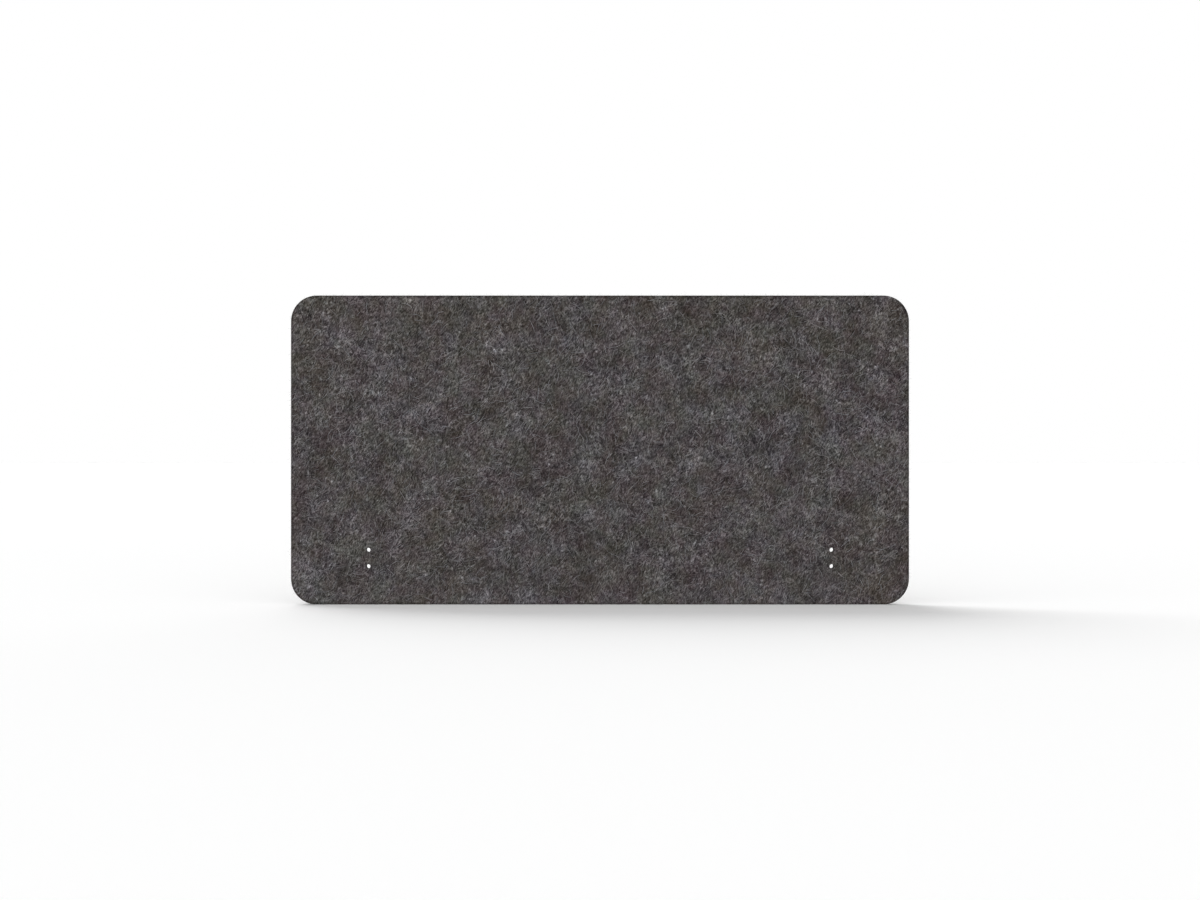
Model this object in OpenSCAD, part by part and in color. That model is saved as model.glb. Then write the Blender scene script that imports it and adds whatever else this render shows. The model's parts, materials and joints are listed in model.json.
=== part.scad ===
// Acoustic divider screen: two pressed felt boards laminated back to back with a
// hot-melt web, cut to one outline with round corners, and drilled right through
// with two pairs of holes for screen brackets.
// X runs along the screen, Y through it with the front at -Y, and Z up from the
// bottom edge that it stands on.

/* [Panel] */
// Width of the screen from side to side
panel_w = 1200; // [800:10:1800]
// Height of the screen from edge to edge
panel_h = 600; // [400:10:900]
// Radius of the four corners, seen from the front
corner_r = 50; // [20:1:120]

/* [Felt boards] */
// Thickness of each of the two felt boards
board_t = 12; // [6:0.5:24]
// Radius of the softened arris round each outer face
arris_r = 1.2; // [0.5:0.1:3]

/* [Hot-melt web] */
// Thickness of the melted web between the boards
web_t = 0.3; // [0.2:0.05:1]

/* [Bracket holes] */
// Diameter of each bracket hole
hole_d = 8.5; // [5:0.5:12]
// Distance between the two holes of a pair, centre to centre
hole_pitch = 32; // [16:1:64]
// Height of each pair's lower hole above the bottom edge
hole_rise = 74; // [40:1:150]
// Distance from the side edge to the pair's centre line
hole_inset = 150; // [60:1:300]

/* [Hidden] */
// Facets of a full turn
round_fn = 96;
// How far a drill runs past the faces that it cuts
drill_overrun = 1;
// Distance from the screen's middle to the centre of each corner, and their heights
corner_x = panel_w / 2 - corner_r;
corner_heights = [corner_r, panel_h - corner_r];
// Places of the four bracket holes, as distance from the middle and height
hole_x = panel_w / 2 - hole_inset;
hole_heights = [hole_rise, hole_rise + hole_pitch];
felt_grey = [0.30, 0.29, 0.29];
web_grey = [0.62, 0.62, 0.60];

// Half of a board's section: square at the bond face, softened at the outer face.
// The first axis runs out to the edge, the second from the bond face outwards.
module half_section(reach) {
    square([reach, board_t - arris_r]);
    square([reach - arris_r, board_t]);
    translate([reach - arris_r, board_t - arris_r])
        circle(r = arris_r, $fn = round_fn);
}

// A board's whole section across a width
module section(width) {
    half_section(width / 2);
    mirror([1, 0])
        half_section(width / 2);
}

// A felt board lying on its bond face, with its bottom edge along the first axis.
// The two bars cross in the middle, and a turned quarter fills each corner.
module lying_board() {
    translate([-corner_x, panel_h / 2, 0])
        rotate([90, 0, 90])
            linear_extrude(2 * corner_x)
                section(panel_h);
    translate([0, corner_heights[1], 0])
        rotate([90, 0, 0])
            linear_extrude(corner_heights[1] - corner_heights[0])
                section(panel_w);
    for (side = [-1, 1])
        for (height = corner_heights)
            translate([side * corner_x, height, 0])
                rotate_extrude($fn = round_fn)
                    half_section(corner_r);
}

// The screen's outline, seen from the front
module outline() {
    translate([-corner_x, 0])
        square([2 * corner_x, panel_h]);
    translate([-panel_w / 2, corner_heights[0]])
        square([panel_w, corner_heights[1] - corner_heights[0]]);
    for (side = [-1, 1])
        for (height = corner_heights)
            translate([side * corner_x, height])
                circle(r = corner_r, $fn = round_fn);
}

// The four bracket holes, drilled from the front through everything
module bracket_holes() {
    drill_depth = 2 * board_t + web_t + 2 * drill_overrun;
    for (side = [-1, 1])
        for (height = hole_heights)
            translate([side * hole_x, 0, height])
                rotate([90, 0, 0])
                    cylinder(d = hole_d, h = drill_depth, center = true, $fn = round_fn);
}

// One felt board standing up, its bond face against the web and its outer face to -Y
module standing_board() {
    difference() {
        translate([0, -web_t / 2, 0])
            rotate([90, 0, 0])
                lying_board();
        bracket_holes();
    }
}

module front_felt_board() {
    color(felt_grey)
        standing_board();
}

module rear_felt_board() {
    color(felt_grey)
        mirror([0, 1, 0])
            standing_board();
}

// The melted web, cut and drilled with the boards, so its rim is flush with theirs
module hot_melt_web() {
    color(web_grey)
        difference() {
            translate([0, web_t / 2, 0])
                rotate([90, 0, 0])
                    linear_extrude(web_t)
                        outline();
            bracket_holes();
        }
}

front_felt_board();
hot_melt_web();
rear_felt_board();
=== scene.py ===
import json
import math

import bpy
import numpy as np
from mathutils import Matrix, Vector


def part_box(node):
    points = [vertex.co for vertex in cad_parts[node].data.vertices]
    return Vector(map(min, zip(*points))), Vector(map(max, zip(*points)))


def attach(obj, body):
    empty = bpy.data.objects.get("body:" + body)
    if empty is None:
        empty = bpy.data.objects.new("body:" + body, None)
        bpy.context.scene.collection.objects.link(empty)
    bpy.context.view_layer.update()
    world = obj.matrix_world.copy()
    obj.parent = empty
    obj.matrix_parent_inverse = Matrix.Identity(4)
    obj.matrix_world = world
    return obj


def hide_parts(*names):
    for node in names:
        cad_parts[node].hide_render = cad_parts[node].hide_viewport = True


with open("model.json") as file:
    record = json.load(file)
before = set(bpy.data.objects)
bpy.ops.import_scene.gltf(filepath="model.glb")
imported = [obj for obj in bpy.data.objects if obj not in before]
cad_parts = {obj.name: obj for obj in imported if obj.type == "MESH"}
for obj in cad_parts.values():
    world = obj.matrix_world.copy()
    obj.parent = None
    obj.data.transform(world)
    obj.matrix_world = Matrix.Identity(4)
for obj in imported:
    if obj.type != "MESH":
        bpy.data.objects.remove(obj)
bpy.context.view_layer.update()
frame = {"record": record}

# The camera stands square to the front of the screen and level with its middle. Its distance
# follows from the slivers of wall that show inside the four holes, and the lens from how wide
# the screen is in the photograph.
photo_width = 1200
screen_pixels = 618.1
camera_distance = 5.3
film_width = 36.0

front_low, front_high = (np.array(corner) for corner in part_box("front_felt_board"))
screen_width = front_high[0] - front_low[0]
screen_height = front_high[2] - front_low[2]
metres_a_pixel = screen_width / screen_pixels

lens = bpy.data.cameras.new("camera")
lens.sensor_width = film_width
lens.lens = film_width * camera_distance / (photo_width * metres_a_pixel)
camera = bpy.data.objects.new("camera", lens)
camera.location = (0, front_low[1] - camera_distance, screen_height / 2)
camera.rotation_euler = (math.radians(90), 0, 0)
bpy.context.collection.objects.link(camera)
bpy.context.scene.camera = camera
bpy.context.scene.view_settings.view_transform = "Standard"

# The two felt boards are the screen: 12 mm of needled polyester fibre pressed hard, laid back
# to back and cut and drilled as one, so they share an outline. Their outer faces roll over
# slightly at the cut, and pressing leaves them a little uneven.
corner_radius = 0.050
arris = 0.0012
bond_softening = 0.0003
rim_radius = 0.0006
grid_step = 0.0044
arris_rings, wall_rings = 4, 8
patch_rings, rim_rings, bore_rings = 5, 3, 7
# The outer face is painted darker in a band this wide along the outline, running over onto the
# arris: painted shade at the edge.
shaded_rim_width = 0.0045

# Soft noise in layers of size, strength and seed: the faces' unevenness, and the nests where
# pale fibres lie thickest. The cut's roughness is one layer, finer through the board, and
# where the cut faces the floor, below a slope of -0.7, it only goes inwards.
unevenness, even_border = 0.00016, 0.01
uneven_layers = ((0.060, 1.0, 11), (0.021, 0.8, 17), (0.009, 0.5, 23))
nest_size, nest_contrast = 0.050, 0.9
nest_layers = ((nest_size, 1.0, 41), (nest_size / 2.3, 0.7, 43), (nest_size / 5, 0.35, 47))
cut_roughness, rough_size, rough_seed = 0.00012, 0.005, 31
rough_stretch = (1, 3, 1)
floor_slope = -0.7

# Where a board's parts lie on its bake map, in shares of the map: the outer face at the
# bottom, the four sides of the cut in strips above it, and the bond face and the four bores
# along the top.
map_border = 0.01
face_share = (0.98, 0.85)
strip_left = np.array([0.01, 0.01, 0.01, 0.51])
strip_up = np.array([0.870, 0.918, 0.894, 0.918])
strip_scale, strip_height = 0.8, 0.018
bond_share, bond_corner = (0.1, 0.03), (0.01, 0.955)
bore_left, bore_width, bore_pitch = 0.15, 0.15, 0.2
bore_low, bore_high = 0.945, 0.985

bolt_mounts = [m for m in frame["record"]["mounts"] if m["kind"] == "bolt_pattern"]
hole_radius = bolt_mounts[0]["dims"]["hole_r_mm"] / 1000
hole_pitch = bolt_mounts[0]["dims"]["spacing_y_mm"] / 1000
holes = [
    (mount["pos_m"][0], mount["pos_m"][2] + way * hole_pitch / 2)
    for mount in bolt_mounts
    for way in (-1, 1)
]
half_patch = hole_pitch / 2
board_depth = front_high[1] - front_low[1]
outer_face = -front_low[1]
middle_height = (front_low[2] + front_high[2]) / 2
half_width = screen_width / 2
half_height = screen_height / 2


def eased(share):
    """A share from 0 to 1 eased in and out: three times its square less twice its cube."""
    return share * share * (3 - 2 * share)


def soft_noise(places, size, seed):
    """Noise between -1 and 1 over places of two or three numbers. Random values stand on a
    lattice of the given size, and each place takes the smooth mix of those round it. A value
    is its lattice numbers scrambled by whole-number products and shifts."""
    largest = 0x7FFFFFFF
    scaled = places / size
    low = np.floor(scaled)
    share = eased(scaled - low)
    width = places.shape[-1]
    primes = np.array([73856093, 19349663, 83492791])[:width]
    total = np.zeros(places.shape[:-1])
    for corner in range(2**width):
        step = np.array([corner >> axis & 1 for axis in range(width)])
        key = ((low + step).astype(np.int64) * primes).sum(-1) + seed * 2654435761
        key = (key ^ key >> 13) * 1274126177 & largest
        key = (key ^ key >> 11) * 668265263 & largest
        weight = np.where(step, share, 1 - share).prod(-1)
        total += weight * (key / (largest // 2) - 1)
    return total


def layered(x, z, layers, side):
    """Layers of soft noise at places on a face, added up. Each side's noise is its own."""
    places = np.stack([x, z], -1)
    return sum(strength * soft_noise(places, size, seed + side) for size, strength, seed in layers)


def relief(x, z, side):
    """How far an outer face stands proud at a place: layered noise that fades to nothing over
    the last centimetre before the edge."""
    fade = np.clip((room(x, z) - arris) / even_border, 0, 1)
    return unevenness * layered(x, z, uneven_layers, side) * fade


def nests(x, z, side):
    """How thick the pale fibres lie at a place, from 0 to 1: layered noise about a half, cut
    off at both ends and eased."""
    return eased(np.clip(0.5 + nest_contrast * layered(x, z, nest_layers, side), 0, 1))


def lines(stops):
    """Grid lines through every stop, with even gaps of about the grid's step between."""
    runs = [
        np.linspace(low, high, max(1, round((high - low) / grid_step)) + 1)[:-1]
        for low, high in zip(stops, stops[1:])
    ]
    return np.append(np.concatenate(runs), stops[-1])


def past_core(x, z):
    """How far places lie past the lines through the corners' centres, in x and in z."""
    past_x = np.maximum(np.abs(x) - half_width + corner_radius, 0) * np.sign(x)
    rise = z - middle_height
    past_z = np.maximum(np.abs(rise) - half_height + corner_radius, 0) * np.sign(rise)
    return past_x, past_z


def room(x, z):
    """How far inside the outline places in the outer 50 mm lie, and 50 mm for all others."""
    return corner_radius - np.hypot(*past_core(x, z))


def rounded(x, z):
    """Draws a square grid's corners in to arcs. In each corner square, the place on a square
    shell goes to the circle of the same reach, along the line to the corner's centre."""
    least = 1e-9
    past_x, past_z = past_core(x, z)
    reach = np.maximum(np.abs(past_x), np.abs(past_z))
    scale = np.where(past_x * past_z == 0, 1, reach / np.maximum(np.hypot(past_x, past_z), least))
    return x + past_x * (scale - 1), z + past_z * (scale - 1)


def mesh_piece(name, places, face_sets, finish, spots, point_values):
    """A smooth-shaded piece from places in metres and arrays of faces of one size each. Spots
    are its bake map, one for every corner of every face, and each set of point values has one
    for every place."""
    mesh = bpy.data.meshes.new(name)
    corners = np.concatenate([faces.ravel() for faces in face_sets])
    sizes = np.concatenate([np.full(len(faces), faces.shape[1]) for faces in face_sets])
    mesh.vertices.add(len(places))
    mesh.vertices.foreach_set("co", places.astype(np.float32).ravel())
    mesh.loops.add(len(corners))
    mesh.loops.foreach_set("vertex_index", corners.astype(np.int32))
    mesh.polygons.add(len(sizes))
    mesh.polygons.foreach_set("loop_start", (np.cumsum(sizes) - sizes).astype(np.int32))
    mesh.update(calc_edges=True)
    layer = mesh.uv_layers.new(name="OFBake")
    layer.uv.foreach_set("vector", spots.astype(np.float32).ravel())
    for value_name, values in point_values.items():
        kind, part = ("FLOAT", "value") if values.ndim == 1 else ("FLOAT_COLOR", "color")
        attribute = mesh.attributes.new(value_name, kind, "POINT")
        attribute.data.foreach_set(part, values.astype(np.float32).ravel())
    mesh.shade_smooth()
    mesh.materials.append(finish)
    piece = bpy.data.objects.new(name, mesh)
    bpy.context.collection.objects.link(piece)
    return piece


def face_spots(x, z):
    """Where places on an outer face go on the bake map: the screen's width across nearly all
    of the map, and its height up most of it."""
    across = 0.5 + x / screen_width * face_share[0]
    return np.stack([across, map_border + (z - front_low[2]) / screen_height * face_share[1]], -1)


def sleeve_spots(here, after, down):
    """Four spots for each face of a sleeve, from how far along the map its two sides lie and
    how far up the map each ring lies."""
    here, after = np.broadcast_arrays(here[None], after[None])
    top, below = down[:-1, None], down[1:, None]
    shape = np.broadcast_shapes(here.shape, top.shape)
    corners = [
        np.stack([np.broadcast_to(u, shape), np.broadcast_to(v, shape)], -1)
        for u, v in ((here, top), (here, below), (after, below), (after, top))
    ]
    return np.stack(corners, -2)


def loop_of(block):
    """The point numbers round a block of the grid, anticlockwise from its lowest corner."""
    return np.concatenate([block[0], block[1:, -1], block[-1, -2::-1], block[-2:0:-1, 0]])


def rings_of(x, down, z):
    """Rings of places from x and z for each place of each ring, and how far down from the
    outer face each ring lies."""
    return np.stack(np.broadcast_arrays(x, outer_face - down[:, None], z), -1)


def cut_edge(edge_x, edge_z, side_counts, side):
    """Rings down the cut from the loop round an outer face: a quarter round at the arris, the
    wall roughened by soft noise, and a softened last edge at the bond face. Their spots lie in
    four strips, one for each side of the outline."""
    out_x, out_z = past_core(edge_x, edge_z)
    on_arc = np.hypot(out_x, out_z)
    out_x, out_z = out_x / on_arc, out_z / on_arc
    turn = np.linspace(0, math.pi / 2, arris_rings + 1)[1:]
    wall = np.linspace(arris, board_depth - bond_softening, wall_rings + 1)[1:]
    out = np.concatenate(
        [arris * np.sin(turn), np.full(wall_rings, arris), [arris - bond_softening]]
    )
    down = np.concatenate([arris * (1 - np.cos(turn)), wall, [board_depth]])
    edge = rings_of(edge_x + out[:, None] * out_x, down, edge_z + out[:, None] * out_z)
    rough = cut_roughness * soft_noise(edge * rough_stretch, rough_size, rough_seed + side)
    rough[:arris_rings] = 0
    rough[-1] = 0
    rough = np.where(out_z < floor_slope, np.minimum(rough, 0), rough)
    edge = edge + rough[..., None] * np.stack([out_x, 0 * out_x, out_z], -1)

    step = np.hypot(np.roll(edge_x, -1) - edge_x, np.roll(edge_z, -1) - edge_z)
    strip = np.repeat(np.arange(4), side_counts * 2)
    starts = np.concatenate([[0], np.cumsum([step[strip == k].sum() for k in range(3)])])
    along = np.cumsum(step) - step - starts[strip]
    here = strip_left[strip] + along * strip_scale
    after = strip_left[strip] + (along + step) * strip_scale
    spots = sleeve_spots(here, after, np.linspace(0, strip_height, len(edge) + 2))
    spots[..., 1] += strip_up[strip][None, :, None]
    return edge, spots


def hole_wall(patch, hole, place, side):
    """Rings from the square patch round a hole in to its circle, over the softened rim and
    down the bore. The spots of the flat rings lie on the face's part of the map, and those of
    the bore in the hole's own place on it."""
    hole_x, hole_z = hole
    off_x, off_z = patch[:, 0] - hole_x, patch[:, 2] - hole_z
    angle = np.arctan2(off_z, off_x)
    reach = hole_radius + rim_radius
    blend = np.linspace(0, 1, patch_rings + 1)[1:, None]
    flat_x = hole_x + off_x * (1 - blend) + reach * np.cos(angle) * blend
    flat_z = hole_z + off_z * (1 - blend) + reach * np.sin(angle) * blend
    flat_y = outer_face + relief(flat_x, flat_z, side) * (1 - blend)
    flat = np.stack([flat_x, flat_y, flat_z], -1)
    turn = np.linspace(0, math.pi / 2, rim_rings + 1)[1:]
    wall = np.linspace(rim_radius, board_depth, bore_rings + 1)[1:]
    radius = np.concatenate([reach - rim_radius * np.sin(turn), np.full(bore_rings, hole_radius)])
    radius = radius[:, None]
    down = np.concatenate([rim_radius * (1 - np.cos(turn)), wall])
    bore = rings_of(hole_x + radius * np.cos(angle), down, hole_z + radius * np.sin(angle))
    rings = np.concatenate([flat, bore])

    turns = np.linspace(0, bore_width, len(patch) + 1) + bore_left + place * bore_pitch
    spots = sleeve_spots(turns[:-1], turns[1:], np.linspace(bore_low, bore_high, len(rings) + 2))
    shells = np.concatenate([patch[None], flat])
    planar = face_spots(shells[..., 0], shells[..., 2])
    onward = np.roll(planar, -1, 1)
    spots[: len(flat)] = np.stack([planar[:-1], planar[1:], onward[1:], onward[:-1]], -2)
    return rings, spots


def board(name, side, finish):
    """One board on its side of the web, -1 in front or 1 behind. Its outer face and bond face
    are the same grid. A sleeve of rings joins them round the outline, and another down each
    hole, from a square patch in the grid to the hole's circle."""
    flat_x, flat_z = half_width - arris, half_height - arris
    core_x, core_z = half_width - corner_radius, half_height - corner_radius
    stops_x = [-flat_x, -core_x]
    stops_x += [x + way * half_patch for x in sorted({x for x, z in holes}) for way in (-1, 1)]
    stops_x += [core_x, flat_x]
    rows = sorted({z for x, z in holes})
    stops_z = [middle_height - flat_z, middle_height - core_z, rows[0] - half_patch]
    stops_z += [z + half_patch for z in rows]
    stops_z += [middle_height + core_z, middle_height + flat_z]
    xs, zs = lines(stops_x), lines(stops_z)
    grid_x, grid_z = np.meshgrid(xs, zs)
    x, z = rounded(grid_x, grid_z)
    count = x.size
    numbers = np.arange(count).reshape(x.shape)
    proud = outer_face + relief(x, z, side)
    bond = np.full(x.shape, outer_face - board_depth)
    places = [np.stack([x, depth, z], -1).reshape(-1, 3) for depth in (proud, bond)]
    outer = places[0]
    quads = np.stack(
        [numbers[:-1, :-1], numbers[:-1, 1:], numbers[1:, 1:], numbers[1:, :-1]], -1
    )
    middle_x = (grid_x[:-1, :-1] + grid_x[1:, 1:]) / 2
    middle_z = (grid_z[:-1, :-1] + grid_z[1:, 1:]) / 2
    solid = np.ones(middle_x.shape, bool)
    for hole_x, hole_z in holes:
        solid &= (abs(middle_x - hole_x) > half_patch) | (abs(middle_z - hole_z) > half_patch)
    face = quads[solid]
    on_map = face_spots(x, z).reshape(-1, 2)
    tucked = on_map * bond_share + bond_corner
    faces = [face, face[:, ::-1] + count]
    spots = [on_map[face], tucked[face[:, ::-1]]]

    outline = loop_of(numbers)
    side_counts = [len(xs) - 1, len(zs) - 1]
    sleeves = [(outline, *cut_edge(outer[outline, 0], outer[outline, 2], side_counts, side))]
    slack = 1e-7
    for place, hole in enumerate(holes):
        columns = np.flatnonzero(abs(xs - hole[0]) < half_patch + slack)
        rows = np.flatnonzero(abs(zs - hole[1]) < half_patch + slack)
        patch = loop_of(numbers[rows[0] : rows[-1] + 1, columns[0] : columns[-1] + 1])[::-1]
        sleeves.append((patch, *hole_wall(outer[patch], hole, place, side)))
    used = 2 * count
    for first, rings, ring_spots in sleeves:
        ring_numbers = used + np.arange(rings.shape[0] * rings.shape[1]).reshape(rings.shape[:2])
        used += ring_numbers.size
        loops = np.concatenate([first[None], ring_numbers, first[None] + count])
        onward = np.roll(loops, -1, 1)
        joined = np.stack([loops[:-1], loops[1:], onward[1:], onward[:-1]], -1)
        places.append(rings.reshape(-1, 3))
        faces.append(joined.reshape(-1, 4))
        spots.append(ring_spots.reshape(-1, 4, 2))

    places, faces, spots = (np.concatenate(parts) for parts in (places, faces, spots))
    kept, faces = np.unique(faces, return_inverse=True)
    places, faces = places[kept], faces.reshape(-1, 4)
    # Painted shade: how far into the dark band along the outline each point lies, on the outer
    # face and the arris.
    shaded_rim_band = np.clip(1 - room(places[:, 0], places[:, 2]) / shaded_rim_width, 0, 1)
    near_face = np.clip(1 - (outer_face - places[:, 1]) / arris, 0, 1)
    values = {"nest": nests(places[:, 0], places[:, 2], side), "rim": shaded_rim_band * near_face}
    places[:, 1] *= side
    if side > 0:
        faces, spots = faces[:, ::-1], spots[:, ::-1]
    return mesh_piece(name, places, [faces], finish, spots, values)


class Shade:
    """One output of a material's nodes. Python arithmetic on it adds Math nodes."""

    def __init__(self, tree, socket):
        self.tree = tree
        self.socket = socket

    def node(self, kind, settings, inputs, output=0):
        """Adds a node, makes its settings, then gives each input a value or another Shade,
        by name or number, and hands back one output."""
        new = self.tree.nodes.new("ShaderNode" + kind)
        for name, value in settings.items():
            setattr(new, name, value)
        for name, value in inputs.items():
            if isinstance(value, Shade):
                self.tree.links.new(value.socket, new.inputs[name])
            else:
                new.inputs[name].default_value = value
        return Shade(self.tree, new.outputs[output])

    def maths(self, operation, first, second):
        return self.node("Math", {"operation": operation}, {0: first, 1: second})

    def __add__(self, other):
        return self.maths("ADD", self, other)

    __radd__ = __add__

    def __sub__(self, other):
        return self.maths("SUBTRACT", self, other)

    def __rsub__(self, other):
        return self.maths("SUBTRACT", other, self)

    def __mul__(self, other):
        return self.maths("MULTIPLY", self, other)

    __rmul__ = __mul__

    def __rtruediv__(self, other):
        return self.maths("DIVIDE", other, self)

    def __pow__(self, other):
        return self.maths("POWER", self, other)

    def __abs__(self):
        return self.maths("ABSOLUTE", self, 0.0)

    def most(self, other):
        """The larger of this and another."""
        return self.maths("MAXIMUM", self, other)

    def part(self, axis):
        """One number of a vector, by its axis."""
        return self.node("SeparateXYZ", {}, {"Vector": self}, axis)

    def moved(self, vector):
        return self.node("VectorMath", {"operation": "ADD"}, {0: self, 1: vector})

    def stretched(self, vector):
        return self.node("VectorMath", {"operation": "MULTIPLY"}, {0: self, 1: vector})

    def noise(self, size, detail, output=0, rough=0.6):
        """Noise at places in millimetres, with features of about the given size. Each finer
        layer of detail is as strong as the last times rough."""
        return self.node(
            "TexNoise",
            {"noise_dimensions": "3D"},
            {"Vector": self, "Scale": 1 / size, "Detail": detail, "Roughness": rough},
            output,
        )

    def sheet(self, size, turn, offset):
        """Places in a sheet of long fibres: moved, turned about Y, and divided by the size of
        the fibres along, through and across."""
        return self.node(
            "Mapping",
            {"vector_type": "TEXTURE"},
            {"Vector": self, "Location": offset, "Rotation": (0.0, -turn, 0.0), "Scale": size},
        )

    def ramp(self, low, high):
        """A smooth step from 0 at the low value to 1 at the high one."""
        return self.node(
            "MapRange",
            {"interpolation_type": "SMOOTHSTEP"},
            {"Value": self, "From Min": low, "From Max": high},
        )


def start_material(name):
    """A new material, and the Object coordinates in millimetres in its empty tree."""
    material = bpy.data.materials.new(name)
    material.use_nodes = True
    material.node_tree.nodes.clear()
    place = Shade(material.node_tree, None).node("TexCoord", {}, {}, "Object")
    return material, place.stretched((1000.0, 1000.0, 1000.0))


def finish_material(place, inputs):
    """Ends a material in a Principled shader with the given inputs."""
    shader = place.node("BsdfPrincipled", {}, inputs)
    end = place.tree.nodes.new("ShaderNodeOutputMaterial")
    place.tree.links.new(shader.socket, end.inputs["Surface"])


def carried(place, name, output="Fac"):
    """A value or colour that the mesh carries on its points."""
    return place.node("Attribute", {"attribute_name": name}, {}, output)


def mixed(red, green, blue):
    """One colour from its three channels."""
    channels = {"Red": red, "Green": green, "Blue": blue}
    return green.node("CombineColor", {"mode": "RGB"}, channels)


def as_light(shown):
    """The light that a colour stands for as it shows on a screen: each channel to the 2.2."""
    return shown.node("Gamma", {}, {"Color": shown, "Gamma": 2.2})


# The felt's pattern, in millimetres. Matted fibres lie in many ways but favour one, thin
# lines of longer fibre cross them, and a short grain, clumps, drifts and tufts vary the grey.
lie, lie_strength, line_lie = math.radians(61), 0.15, 0.04
fibre_ways, fibre_size, fibre_shift = 8, (8.5, 1.0, 1.25), (37.0, 11.0, 53.0)
mask_size, mask_shift, mask_steps = 10.0, (91.0, 0.0, 17.0), (0.35, 0.70)
mask_depth, mask_floor = 0.12, 0.88
line_ways, line_size, line_shift = 6, (25.0, 1.0, 4.0), (61.0, 29.0, 13.0)
line_turn, line_reach = 0.4, 0.055
gap_size, gap_shift, gap_steps = 11.0, (13.0, 0.0, 71.0), (0.42, 0.64)
grain_size = (5.5, 2.5, 2.6)
bend_size, bend_reach = 20.0, (5.0, 1.5, 5.0)
clump_size, clump_stretch = 26.0, (1.0, 3.0, 1.0)
drift_size, drift_shift = 50.0, (300.0, 0.0, 0.0)
tuft_size, tuft_shift, tuft_steps = 8.0, (0.0, 0.0, 100.0), (0.70, 0.84)
tint_size, tint_rough, tint_steps = 42.0, 0.65, (0.38, 0.62)
cool_shift, warm_shift = (0.0, 0.0, 500.0), (700.0, 0.0, 200.0)
far_cool_size, far_cool_shift = 330.0, (900.0, 0.0, 900.0)
far_warm_size, far_warm_shift = 300.0, (400.0, 0.0, 100.0)
# The next value sets how fast the painted light on the felt's lower part fades with height: the
# grey is painted lighter towards the floor.
painted_lift_height = 60.0

# How much each part of the pattern adds to the felt's grey, and then to its red and blue. Also how
# strong the painted light towards the floor is, and the darkening at the edges: painted shade on
# the arris and along the outline, and on the cut painted shade with its own darker tone.
felt_tone, painted_lift_tone = 0.2855, 0.040
clump_tone, drift_tone, tuft_tone, nest_shade = 0.125, 0.23, 0.09, 0.012
fibre_middle, fibre_tone, grain_tone = 0.77, 0.47, 0.42
line_middle, line_tone, nest_line_tone = 0.2, 0.11, 0.09
clump_contrast = 4.0
# The first two darken where the surface turns away from the face, on the arris and the cut:
# painted shade, and on the cut also its own darker tone. The last is painted shade along the
# outline.
cut_steps, cut_tone_and_painted_shade, painted_rim_shade = (1.0, 0.75), 0.15, 0.25
warm_red, cool_red, far_red, felt_warmth = 0.0130, 0.007, 0.01, 0.0145
cool_blue, far_blue, nest_blue, felt_yellow = 0.0160, 0.02, 0.008, 0.0055
coarse_tint = 0.07


def way_shift(shift, way):
    """The shift that keeps one way's noise apart from the others'."""
    return tuple(part * way for part in shift)


def matted_fibres(bent, place):
    """The height of the matted fibres at a place. Eight sheets of long noise lie each another
    way in bent space, faded by their own patchy masks, and the highest sheet shows."""
    total = 0.0
    for way in range(fibre_ways):
        turn = math.pi * way / fibre_ways
        sheet = bent.sheet(fibre_size, turn, way_shift(fibre_shift, way))
        mask = place.moved(way_shift(mask_shift, way)).noise(mask_size, 0.0).ramp(*mask_steps)
        favour = 1 + lie_strength * math.cos(2 * (turn - lie))
        crest = sheet.noise(1.0, 0.0) * (mask * mask_depth + mask_floor) * favour
        total = crest.most(total)
    return total


def stray_lines(bent, place):
    """Thin lines of longer fibres: where long noise, laid six ways in turn, crosses its
    middle value, each way faded by its own patchy mask."""
    total = 0.0
    for way in range(line_ways):
        turn = math.pi * (way + line_turn) / line_ways
        sheet = bent.sheet(line_size, turn, way_shift(line_shift, way))
        favour = line_lie * math.cos(2 * (turn - lie))
        mask = place.moved(way_shift(gap_shift, way)).noise(gap_size, 0.0)
        mask = mask.ramp(gap_steps[0] - favour, gap_steps[1] - favour)
        line = abs(sheet.noise(1.0, 0.0) - 0.5).ramp(line_reach, 0.0) * mask
        total = line.most(total)
    return total


felt, place = start_material("felt")
bend = place.noise(bend_size, 1.0, "Color").moved((-0.5, -0.5, -0.5)).stretched(bend_reach)
bent = place.moved(bend)
fibres = matted_fibres(bent, place)
strays = stray_lines(bent, place)
pale = carried(place, "nest")
# The rim value carries the painted shade along the outline.
rim = carried(place, "rim")
clumps = place.stretched(clump_stretch).noise(clump_size, 4.0) - 0.5
drifts = place.moved(drift_shift).noise(drift_size, 2.0) - 0.5
tufts = place.moved(tuft_shift).noise(tuft_size, 0.0).ramp(*tuft_steps)
# Painted light: a lift of the grey that is strongest at the floor and fades with height.
low = painted_lift_height / (place.part("Z") + painted_lift_height)
cool = place.moved(cool_shift).noise(tint_size, 4.0, 0, tint_rough).ramp(*tint_steps) - 0.5
warm = place.moved(warm_shift).noise(tint_size, 4.0, 0, tint_rough).ramp(*tint_steps) - 0.5
far_cool = place.moved(far_cool_shift).noise(far_cool_size, 1.0) - 0.5
far_warm = place.moved(far_warm_shift).noise(far_warm_size, 1.0) - 0.5
grain = place.sheet(grain_size, lie, (0.0, 0.0, 0.0)).noise(1.0, 1.0) - 0.5
# Painted shade and the cut's own darker tone: how far the surface turns away from the face.
off_face = abs(place.node("NewGeometry", {}, {}, "Normal").part("Y")).ramp(*cut_steps)
coarse = clumps * clump_tone + drifts * drift_tone + tufts * tuft_tone - pale * nest_shade
stray_tone = (strays - line_middle) * (line_tone + nest_line_tone * pale)
fine = (fibres - fibre_middle) * fibre_tone + stray_tone + grain * grain_tone
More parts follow.
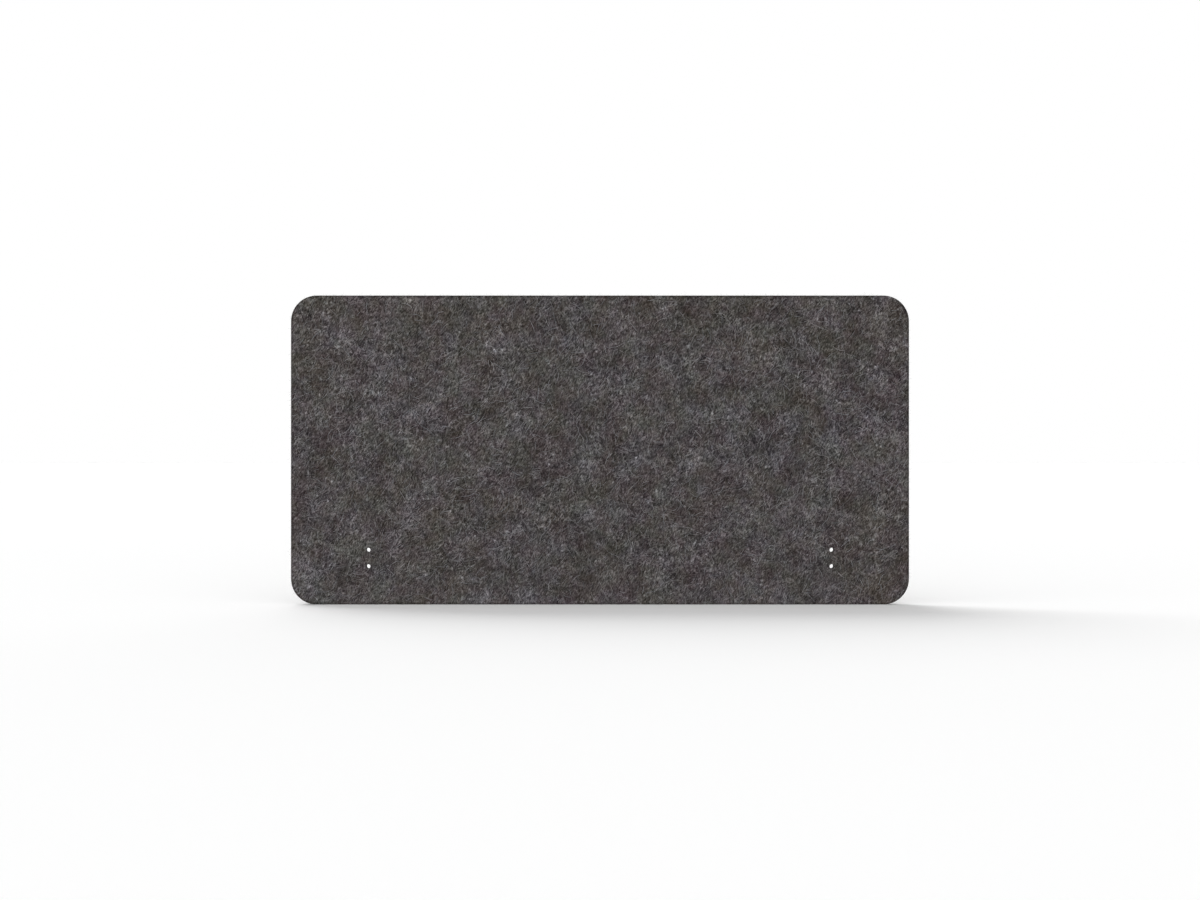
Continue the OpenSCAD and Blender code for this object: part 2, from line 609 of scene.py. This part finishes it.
# The felt's grey is painted lighter towards the floor.
tone = felt_tone + low * painted_lift_tone + coarse + fine * (1.0 + clump_contrast * coarse)
# Painted shade darkens the arris, the cut and the band along the outline. The cut also has its own
# darker tone.
tone = tone * (1.0 - cut_tone_and_painted_shade * off_face) * (1.0 - painted_rim_shade * rim)
red = tone + warm * warm_red + cool * cool_red + far_warm * far_red
red = red - coarse * coarse_tint + felt_warmth
blue = tone + cool * cool_blue + far_cool * far_blue + coarse * coarse_tint
blue = blue + pale * nest_blue - felt_yellow
bump = fibres.node("Bump", {}, {"Height": fibres, "Strength": 0.5, "Distance": 0.001})
finish_material(
    place,
    {
        "Base Color": as_light(mixed(red, tone, blue)),
        "Roughness": 0.95,
        "Specular IOR Level": 0.2,
        "Normal": bump,
    },
)

for node, side in (("front_felt_board", -1), ("rear_felt_board", 1)):
    dressed = board(node.replace("_felt", ""), side, felt)
    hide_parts(node)
    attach(dressed, "root")

# The longer, coarser fibres lie in wisps matted into both outer faces, pale, grey and dark:
# polyester that the needling drew up through the felt. They are thickest in nests, curl every
# way, and the cut takes them off at the outline and the holes.
fibre_count = 6000
fibre_stations, fine_stations = 6, 33
spare_tries = 9
bare_chance, nest_chance = 0.42, 0.58

# A wisp's heading, in radians, and its bend in radians a metre, with a slow wave on top.
heading_drift, heading_size, heading_seed, heading_scatter = 1.2, 0.05, 71, 0.6
curl, wave_swing, wave_rate = 20, 0.35, 130
length_scatter, radius_scatter = 0.35, 0.25

# How a wisp's fibres lie apart, in metres, and what is left of one that meets a cut.
strand_spread, strand_scatter = 0.0004, 0.6
strand_slant, sway_rate, sway_start = 1.6, 9, 3
cut_clearance, least_run, trim = 0.0004, 4, 0.55

# How a fibre thins to its ends, rises from the face and dips back in, and how its colour
# varies with its wisp and on its own.
thin_end, most_lift, dip = 0.25, 0.0003, 0.00022
wisp_share, own_share = 0.8, 0.5
red_scatter, blue_scatter = 0.006, 0.004
fibre_columns = 72

# Each kind: its grey, the grey's scatter, the red and blue added to it, then the radius and
# the length in metres, and how many fibres make a wisp.
fibre_kinds = {
    "pale": ((0.55, 0.050, 0.003, 0.009), 0.00014, 0.026, 3),
    "grey": ((0.44, 0.045, 0.008, 0.002), 0.00014, 0.024, 3),
    "dark": ((0.17, 0.025, 0.014, -0.006), 0.00015, 0.020, 3),
}


def in_screen(x, z, margin):
    """Whether places lie on the face, at least a margin inside the outline and clear of the
    holes."""
    inside = room(x, z) > margin
    for hole_x, hole_z in holes:
        inside &= np.hypot(x - hole_x, z - hole_z) > hole_radius + margin
    return inside


def tubes(paths, radii, facing):
    """Closed three-cornered tubes. At every station of a path the corners stand one radius
    out from it, a third of a turn apart, starting on the side that faces the given way."""
    along = np.gradient(paths, axis=1)
    along /= np.linalg.norm(along, axis=-1, keepdims=True)
    across = np.cross(along, facing)
    across /= np.linalg.norm(across, axis=-1, keepdims=True)
    upward = np.cross(across, along)
    turn = np.arange(3)[:, None] * 2 * math.pi / 3
    rim = np.cos(turn) * upward[:, :, None] + np.sin(turn) * across[:, :, None]
    places = paths[:, :, None] + radii[:, :, None, None] * rim
    numbers = np.arange(places[..., 0].size).reshape(places.shape[:3])
    here, after = numbers[:, :-1], numbers[:, 1:]
    walls = np.stack([here, np.roll(here, -1, 2), np.roll(after, -1, 2), after], -1)
    ends = np.stack([numbers[:, 0, ::-1], numbers[:, -1]], 1)
    return places.reshape(-1, 3), walls.reshape(-1, 4), ends.reshape(-1, 3)


def tube_spots(count, stations, columns):
    """Bake-map spots for tubes. Each tube has its own cell in rows of cells. Its length goes
    across the cell, its three sides go up it, and its ends are small triangles beside them."""
    map_share = 0.98
    first, last = 0.1, 0.9
    lowest, pitch, height = 0.12, 0.26, 0.24
    ends = np.array(
        [
            [[0.02, 0.2], [0.02, 0.8], [0.07, 0.5]],
            [[0.93, 0.2], [0.93, 0.8], [0.98, 0.5]],
        ]
    )
    rows = math.ceil(count / columns)
    cell = np.array([map_share / columns, map_share / rows])
    tube = np.arange(count)
    corner = map_border + np.stack([tube % columns, tube // columns], -1) * cell
    along = np.linspace(first, last, stations)
    here, low = np.meshgrid(along[:-1], lowest + np.arange(3) * pitch, indexing="ij")
    after = here + along[1] - along[0]
    high = low + height
    around = ((here, low), (here, high), (after, high), (after, low))
    walls = np.stack([np.stack(spot, -1) for spot in around], -2)
    walls = corner[:, None, None, None] + walls * cell
    ends = corner[:, None, None] + ends * cell
    return np.concatenate([walls.reshape(-1, 2), ends.reshape(-1, 2)])


def wisps(random, side, length, strands):
    """Paths of fibres on a face, several to a wisp. A wisp's heading turns steadily along it,
    with a slow wave on top, and its fibres keep to their own changing distance across it.
    What lies past the outline or a hole is cut off. Returns x and z for every station of
    every fibre, and the wisp that each fibre is in."""
    tries = fibre_count * spare_tries // strands
    wanted = fibre_count // strands
    x = random.uniform(-half_width, half_width, tries)
    z = random.uniform(front_low[2], front_high[2], tries)
    chance = bare_chance + nest_chance * nests(x, z, side)
    kept = (random.uniform(0, 1, tries) < chance) & in_screen(x, z, arris)
    x, z = x[kept][:wanted], z[kept][:wanted]
    drift = heading_drift * soft_noise(np.stack([x, z], -1), heading_size, heading_seed)
    heading = lie + drift + random.normal(0, heading_scatter, len(x))
    curve = random.normal(0, curl, len(x))
    reach = length * np.exp(random.normal(0, length_scatter, len(x)))
    wave = random.uniform(0, 2 * math.pi, len(x))
    x, z, heading, curve, reach, wave = (
        np.repeat(values, strands)[:, None] for values in (x, z, heading, curve, reach, wave)
    )

    along = np.linspace(-0.5, 0.5, fine_stations)
    run = reach * along
    ways = heading + curve * run + wave_swing * np.sin(run * wave_rate + wave)
    step = reach / (fine_stations - 1)
    path_x = np.cumsum(np.cos(ways), 1) * step
    path_z = np.cumsum(np.sin(ways), 1) * step
    middle = fine_stations // 2
    path_x += x - path_x[:, middle : middle + 1]
    path_z += z - path_z[:, middle : middle + 1]
    total = len(path_x)
    offset, slant, sway = random.normal(0, 1, (3, total, 1)) * strand_scatter
    sway = sway * np.sin(along * sway_rate + sway_start * offset)
    off = strand_spread * (offset + slant * along * strand_slant + sway)
    path_x -= off * np.sin(ways)
    path_z += off * np.cos(ways)

    inside = in_screen(path_x, path_z, cut_clearance)
    after = np.cumprod(inside[:, middle:], 1).sum(1) - 1
    before = np.cumprod(inside[:, middle::-1], 1).sum(1) - 1
    start = middle - before * random.uniform(trim, 1, total)
    end = middle + after * random.uniform(trim, 1, total)
    whole = (end - start > least_run) & inside[:, middle]
    share = np.linspace(0, 1, fibre_stations)
    at = start[whole, None] + (end - start)[whole, None] * share
    low = np.minimum(at.astype(int), fine_stations - 2)
    rest = at - low
    found = []
    for path in (path_x[whole], path_z[whole]):
        here = np.take_along_axis(path, low, 1)
        after_here = np.take_along_axis(path, low + 1, 1)
        found.append(here * (1 - rest) + after_here * rest)
    return found[0], found[1], np.flatnonzero(whole) // strands


def fibre_piece(name, side, seed, finish, tint, radius, length, strands):
    """Fibres matted into one face. Each is a tapering tube that rises out of the face, runs a
    little proud of it and dips back in."""
    random = np.random.default_rng(seed)
    x, z, wisp = wisps(random, side, length, strands)
    count = len(x)
    share = np.linspace(-1, 1, fibre_stations)
    thick = radius * np.exp(random.normal(0, radius_scatter, (count, 1)))
    radii = thick * (thin_end + (1 - thin_end) * np.sqrt(1 - share**4))
    lift = random.uniform(0.0, most_lift, (count, 1))
    rise = lift * (1 - share**4) - dip * share**6
    depth = outer_face + relief(x, z, side) + rise
    paths = np.stack([x, side * depth, z], -1)
    places, walls, ends = tubes(paths, radii, np.array([0.0, side, 0.0]))
    shade = random.normal(0, 1, (wisp.max() + 1, 2))[wisp]
    own = random.normal(0, 1, (count, 1))
    tone, tone_scatter, red_part, blue_part = tint
    level = tone + tone_scatter * (wisp_share * shade[:, :1] + own_share * own)
    channels = (
        level + red_part + red_scatter * shade[:, 1:],
        level,
        level + blue_part - blue_scatter * shade[:, 1:],
        np.ones((count, 1)),
    )
    colours = np.repeat(np.concatenate(channels, 1), fibre_stations * 3, 0)
    spots = tube_spots(count, fibre_stations, fibre_columns)
    return mesh_piece(name, places, [walls, ends], finish, spots, {"tint": colours})


streak_size, streak_depth, streak_floor = 3.0, 0.36, 0.82
fibre_finish, place = start_material("felt_fibre")
tint = carried(place, "tint", "Color")
streak = place.noise(streak_size, 2.0) * streak_depth + streak_floor
shown = tint.node("VectorMath", {"operation": "SCALE"}, {0: tint, "Scale": streak})
finish_material(
    place, {"Base Color": as_light(shown), "Roughness": 0.8, "Specular IOR Level": 0.3}
)

for face_name, side in (("front", -1), ("rear", 1)):
    for seed, (kind, numbers) in enumerate(fibre_kinds.items(), 101 + 10 * side):
        piece = fibre_piece(f"{face_name}_{kind}_fibres", side, seed, fibre_finish, *numbers)
        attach(piece, "root")

# Loose hairs stand off the felt: single fibres that the needling left in low arches over both
# faces, and short ends all round the cut, where the knife freed them.
arch_count, arch_stations, arch_radius = 1800, 8, 0.00006
arch_reach, arch_reach_scatter, arch_turn = 0.009, 0.45, 1.2
bow_height, bow_scatter, most_bow = 0.0011, 0.5, 0.0028
arch_sink, arch_clearance = 0.0002, 0.002
end_count, end_stations, end_radius = 4200, 5, 0.00005
end_reach, end_reach_scatter, most_end_reach = 0.0021, 0.4, 0.0036
end_sink, end_spread, lean_scatter, floor_clearance = 0.0004, 0.93, 0.5, 0.0001
corner_stations = 25
hair_radius_scatter, hair_taper = 0.2, 0.7
hair_grey, hair_red, hair_blue = (0.22, 0.50), 0.008, 0.004
hair_columns = 60


def arches(random, side, count):
    """Paths of hairs that leave a face, bow out over it and come back: a bent line in the
    face, raised by a half wave."""
    x = random.uniform(-half_width, half_width, (count, 1))
    z = random.uniform(front_low[2], front_high[2], (count, 1))
    share = np.linspace(0, 1, arch_stations)
    reach = arch_reach * np.exp(random.normal(0, arch_reach_scatter, (count, 1)))
    heading = random.uniform(0, 2 * math.pi, (count, 1))
    heading = heading + random.normal(0, arch_turn, (count, 1)) * share
    path_x = x + np.cumsum(np.cos(heading), 1) * reach / arch_stations
    path_z = z + np.cumsum(np.sin(heading), 1) * reach / arch_stations
    bow = np.minimum(bow_height * np.exp(random.normal(0, bow_scatter, (count, 1))), most_bow)
    bow = bow * np.sin(math.pi * share) - arch_sink
    kept = in_screen(path_x, path_z, arch_clearance).all(1)
    path_x, path_z, bow = path_x[kept], path_z[kept], bow[kept]
    depth = outer_face + relief(path_x, path_z, side) + bow
    return np.stack([path_x, side * depth, path_z], -1)


def cut_ends(random, count):
    """Paths of short ends round the cut: each starts under the cut edge at a random place on
    the outline, leaves it outwards with a lean, and bends a little on its way."""
    turn = np.linspace(0, math.pi / 2, corner_stations)
    quarter = (np.arange(4)[:, None] * math.pi / 2 + turn).ravel()
    rightward = np.repeat([1, -1, -1, 1], corner_stations)
    upward = np.repeat([1, 1, -1, -1], corner_stations)
    centre_x = (half_width - corner_radius) * rightward
    centre_z = (half_height - corner_radius) * upward + middle_height
    line_x = centre_x + corner_radius * np.cos(quarter)
    line_z = centre_z + corner_radius * np.sin(quarter)
    line_x, line_z = np.append(line_x, line_x[0]), np.append(line_z, line_z[0])
    run = np.append(0, np.cumsum(np.hypot(np.diff(line_x), np.diff(line_z))))
    at = random.uniform(0, run[-1], count)
    x, z = np.interp(at, run, line_x), np.interp(at, run, line_z)
    out_x, out_z = past_core(x, z)
    size = np.hypot(out_x, out_z)
    out = np.stack([out_x / size, 0 * size, out_z / size], -1)
    depth = random.uniform(-end_spread, end_spread, count) * outer_face
    root = np.stack([x, depth, z], -1) - end_sink * out
    lean = np.clip(random.normal(0, lean_scatter, (count, 3)), -1, 1)
    bend = np.clip(random.normal(0, lean_scatter, (count, 3)), -1, 1)
    reach = end_reach * np.exp(random.normal(0, end_reach_scatter, count))
    reach = np.minimum(reach, most_end_reach)
    share = np.linspace(0, 1, end_stations)[:, None]
    way = (out + lean)[:, None] * share + bend[:, None] * share**2
    paths = root[:, None] + reach[:, None, None] * way
    return paths[paths[..., 2].min(1) > front_low[2] + floor_clearance]


def hair_piece(name, paths, radius, seed):
    """Hairs along paths, thinning to both ends, each with its own grey."""
    any_way = np.array([0.31, 0.83, 0.46])
    random = np.random.default_rng(seed)
    count, stations = paths.shape[:2]
    share = np.linspace(-1, 1, stations)
    radii = radius * np.exp(random.normal(0, hair_radius_scatter, (count, 1)))
    radii = radii * (1 - hair_taper * share**4)
    places, walls, ends = tubes(paths, radii, any_way)
    level = random.uniform(*hair_grey, (count, 1))
    channels = (level + hair_red, level, level + hair_blue, np.ones((count, 1)))
    colours = np.repeat(np.concatenate(channels, 1), stations * 3, 0)
    spots = tube_spots(count, stations, hair_columns)
    piece = mesh_piece(name, places, [walls, ends], fibre_finish, spots, {"tint": colours})
    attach(piece, "root")


hair_random = np.random.default_rng(7)
hair_piece("front_loose_hairs", arches(hair_random, -1, arch_count), arch_radius, 8)
hair_piece("rear_loose_hairs", arches(hair_random, 1, arch_count), arch_radius, 9)
hair_piece("cut_edge_hairs", cut_ends(hair_random, end_count), end_radius, 10)

# The hot-melt web between the boards shows only as a thin line round the cut and in the
# holes. The CAD sheet stands as it is, in cloudy grey polyester.
cloud_size, cloud_depth, web_grey = 4.0, 0.10, 0.50
web, place = start_material("web")
cloud = place.noise(cloud_size, 3.0) * cloud_depth + web_grey
finish_material(place, {"Base Color": as_light(mixed(cloud, cloud, cloud)), "Roughness": 0.45})
web_sheet = bpy.data.objects["hot_melt_web"]
web_sheet.data.materials.clear()
web_sheet.data.materials.append(web)

# The floor is a white studio floor that runs to the horizon and reads a shade under white
# near the screen, like the photograph's.
floor_reach = 60.0
# The far lift is painted light: the floor's colour rises from 0.5 m to 6 m behind the screen.
near_white, painted_far_light, lift_steps = 0.972, 0.012, (500.0, 6000.0)
floor_mesh = bpy.data.meshes.new("floor")
floor_corners = ((-1, -1), (1, -1), (1, 1), (-1, 1))
floor_mesh.from_pydata(
    [(x * floor_reach, y * floor_reach, 0) for x, y in floor_corners], [], [(0, 1, 2, 3)]
)
floor = bpy.data.objects.new("floor", floor_mesh)
bpy.context.collection.objects.link(floor)
white, place = start_material("floor_white")
# Painted light: behind the screen the floor's colour rises towards the horizon.
shown = place.part("Y").ramp(*lift_steps) * painted_far_light + near_white
finish_material(
    place,
    {"Base Color": mixed(shown, shown, shown), "Roughness": 1.0, "Specular IOR Level": 0.0},
)
floor_mesh.materials.append(white)

# The light, as the floor's shadow tells it: a big soft key high behind on the left, white
# walls low in front and behind, and a broad weak light overhead. What the camera sees past
# the floor, straight or mirrored, is plain white.
key_way, key_height = math.radians(118.5), math.radians(39.4)
key_strength, key_size = 1.77, math.radians(46)
wall_strength, wall_focus = 4.61, 12.0
top_way, top_height = math.radians(247.5), math.radians(45)
top_strength, top_focus = 1.105, 1.836

key_light = bpy.data.lights.new("key", "SUN")
key_light.energy = key_strength
key_light.angle = key_size
key = bpy.data.objects.new("key", key_light)
key.rotation_euler = (key_height - math.pi / 2, 0, key_way - math.pi / 2)
bpy.context.collection.objects.link(key)

studio = bpy.data.worlds.new("studio")
studio.use_nodes = True
studio.node_tree.nodes.clear()
way = Shade(studio.node_tree, None).node("TexCoord", {}, {}, "Generated")
walls = abs(way.part("Y")) ** wall_focus * wall_strength
overhead = (
    math.cos(top_way) * math.cos(top_height),
    math.sin(top_way) * math.cos(top_height),
    math.sin(top_height),
)
facing_top = way.node("VectorMath", {"operation": "DOT_PRODUCT"}, {0: way, 1: overhead}, "Value")
falloff = (facing_top - 1.0) * top_focus
top = falloff.maths("EXPONENT", falloff, 0.0) * top_strength
seen = 0.0
for kind in ("Camera", "Glossy", "Transmission"):
    seen = way.node("LightPath", {}, {}, f"Is {kind} Ray").most(seen)
strength = (walls + top) * (1.0 - seen) + seen
light = way.node("Background", {}, {"Color": (1.0, 1.0, 1.0, 1.0), "Strength": strength})
end = studio.node_tree.nodes.new("ShaderNodeOutputWorld")
studio.node_tree.links.new(light.socket, end.inputs["Surface"])
bpy.context.scene.world = studio
